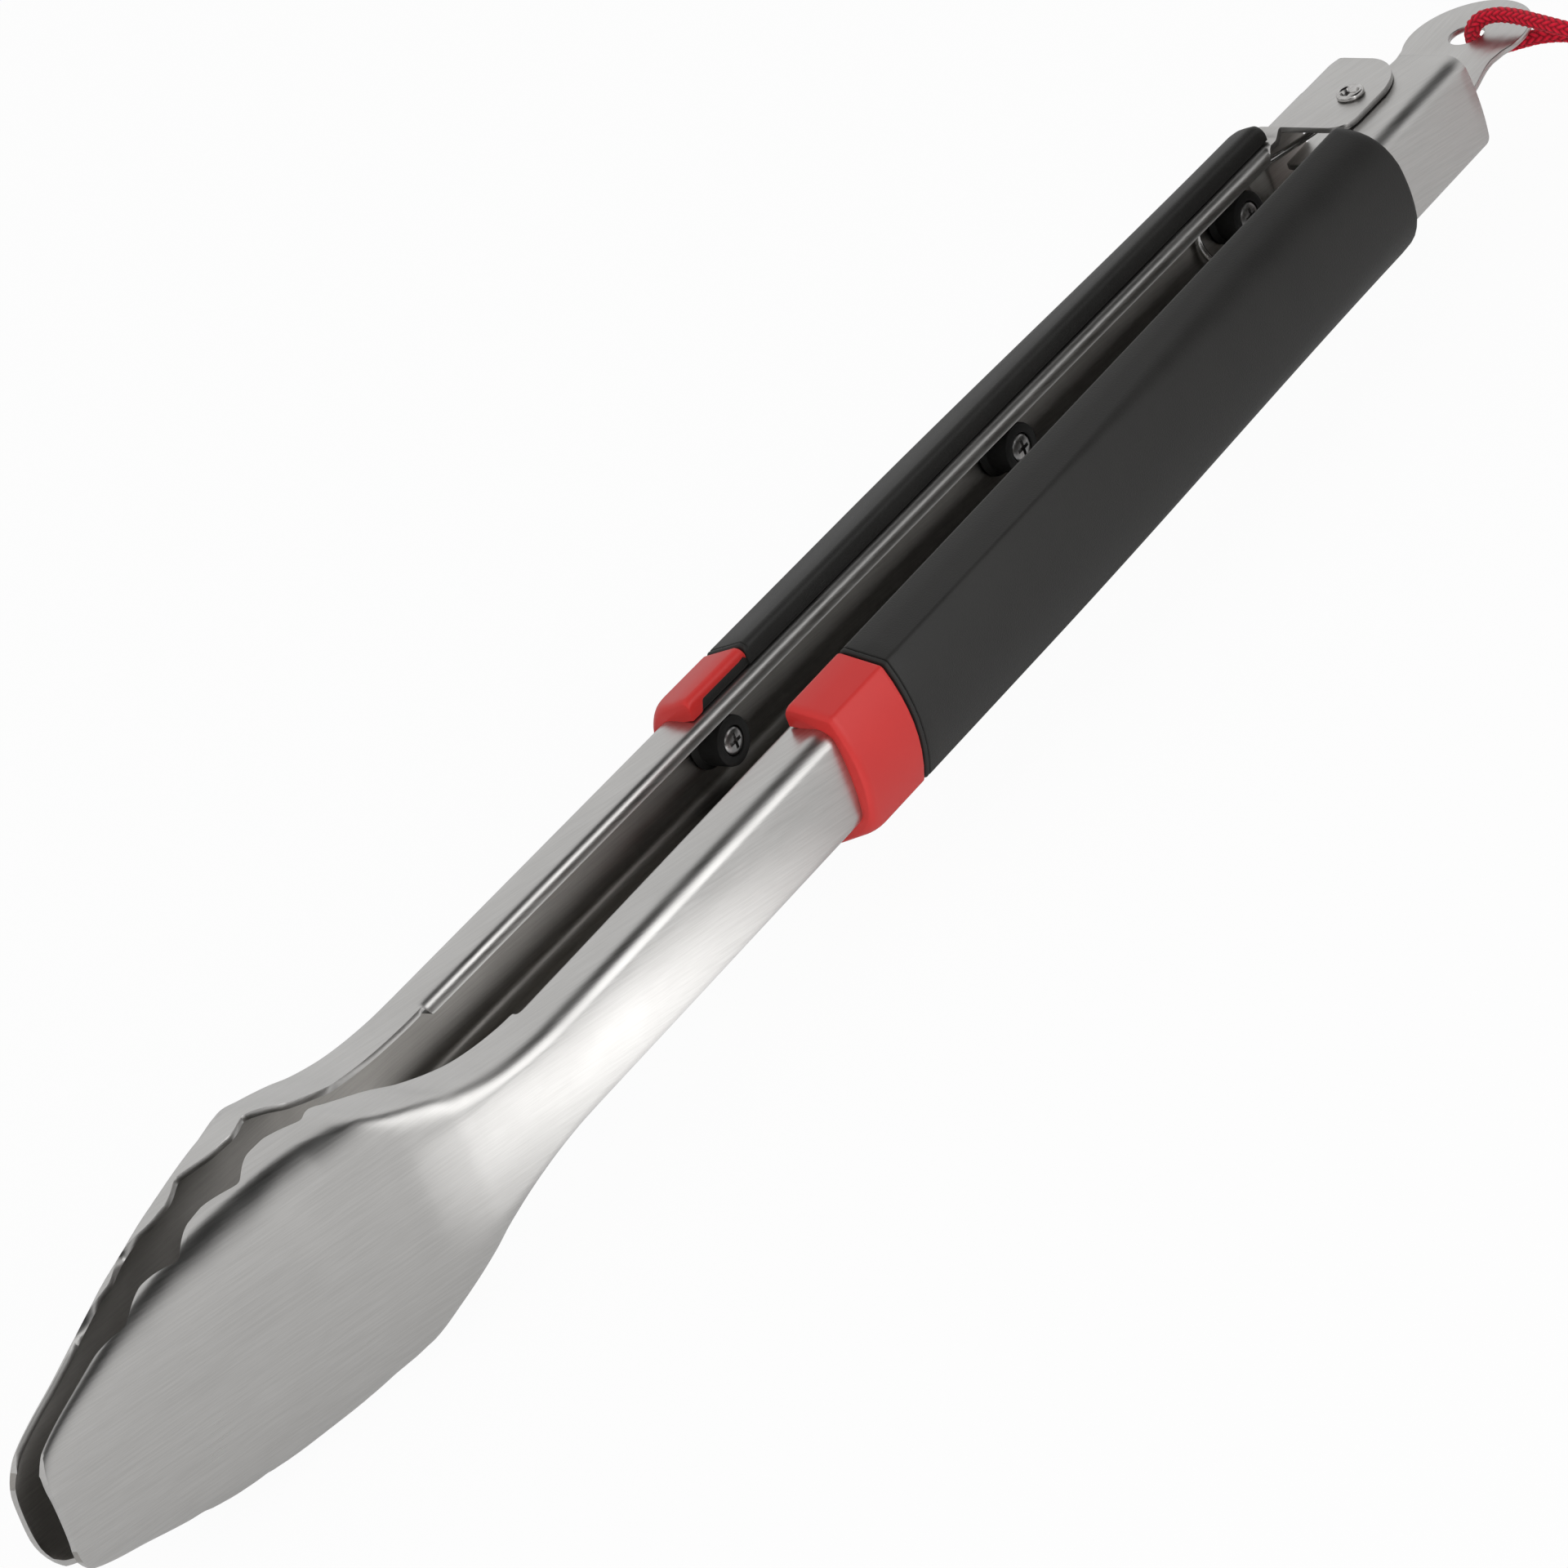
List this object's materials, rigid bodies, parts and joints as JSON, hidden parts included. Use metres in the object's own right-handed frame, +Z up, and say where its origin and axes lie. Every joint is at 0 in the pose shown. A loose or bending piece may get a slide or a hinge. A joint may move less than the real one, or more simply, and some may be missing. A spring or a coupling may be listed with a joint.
{
  "type": "kitchen tongs",
  "caption": "Spring loaded locking kitchen tongs: two pressed steel arms with scalloped heads, black grips, red collars, pull-tab lock and a hanging cord.",
  "frame": {"origin": "middle of the underside of the box round the tongs lying on their side, the cord and knot left out", "axes": "+X from the hinge to the heads, +Y towards the near arm, +Z up along the hinge axis"},
  "size_m": [0.5408, 0.072, 0.052],
  "materials": {
    "arm_steel": "brushed stainless sheet, bright on the bends",
    "slider_steel": "fine brushed stainless plate",
    "spring_steel": "drawn bright spring wire",
    "rivet_steel": "bright turned steel",
    "screw_steel": "bright cross-head screw",
    "grip_black": "fine matte grain, soft black",
    "boss_black": "satin black",
    "collar_red": "satin red",
    "cord_red": "braided round cord"
  },
  "bodies": {
    "near_arm": {"near_arm": "arm_steel", "near_grip": "grip_black", "near_collar": "collar_red", "near_boss_1": "boss_black", "near_screw_1": "screw_steel", "near_boss_2": "boss_black", "near_screw_2": "screw_steel", "near_boss_3": "boss_black", "near_screw_3": "screw_steel", "hinge_rivet": "rivet_steel", "hinge_sleeve": "rivet_steel", "torsion_spring": "spring_steel"},
    "far_arm": {"far_arm": "arm_steel", "far_grip": "grip_black", "far_collar": "collar_red", "far_boss_1": "boss_black", "far_screw_1": "screw_steel", "far_boss_2": "boss_black", "far_screw_2": "screw_steel", "far_boss_3": "boss_black", "far_screw_3": "screw_steel"},
    "lock_slider": {"lock_slider": "slider_steel", "hang_cord": "cord_red", "cord_knot": "cord_red"}
  },
  "joints": [
    {"name": "arm_hinge", "type": "hinge", "parent": "near_arm", "child": "far_arm", "pos_m": [-0.1929, 0.00479, 0.02579], "axis": [0, 0, -1], "range_deg": [-0.6, 18], "stiffness_Nm_per_rad": 1.2, "springref_deg": 34.38, "deforming": ["torsion_spring"]},
    {"name": "lock_slide", "type": "slide", "parent": "near_arm", "child": "lock_slider", "axis": [1, 0, 0], "range_m": [0, 0.0104]}
  ]
}
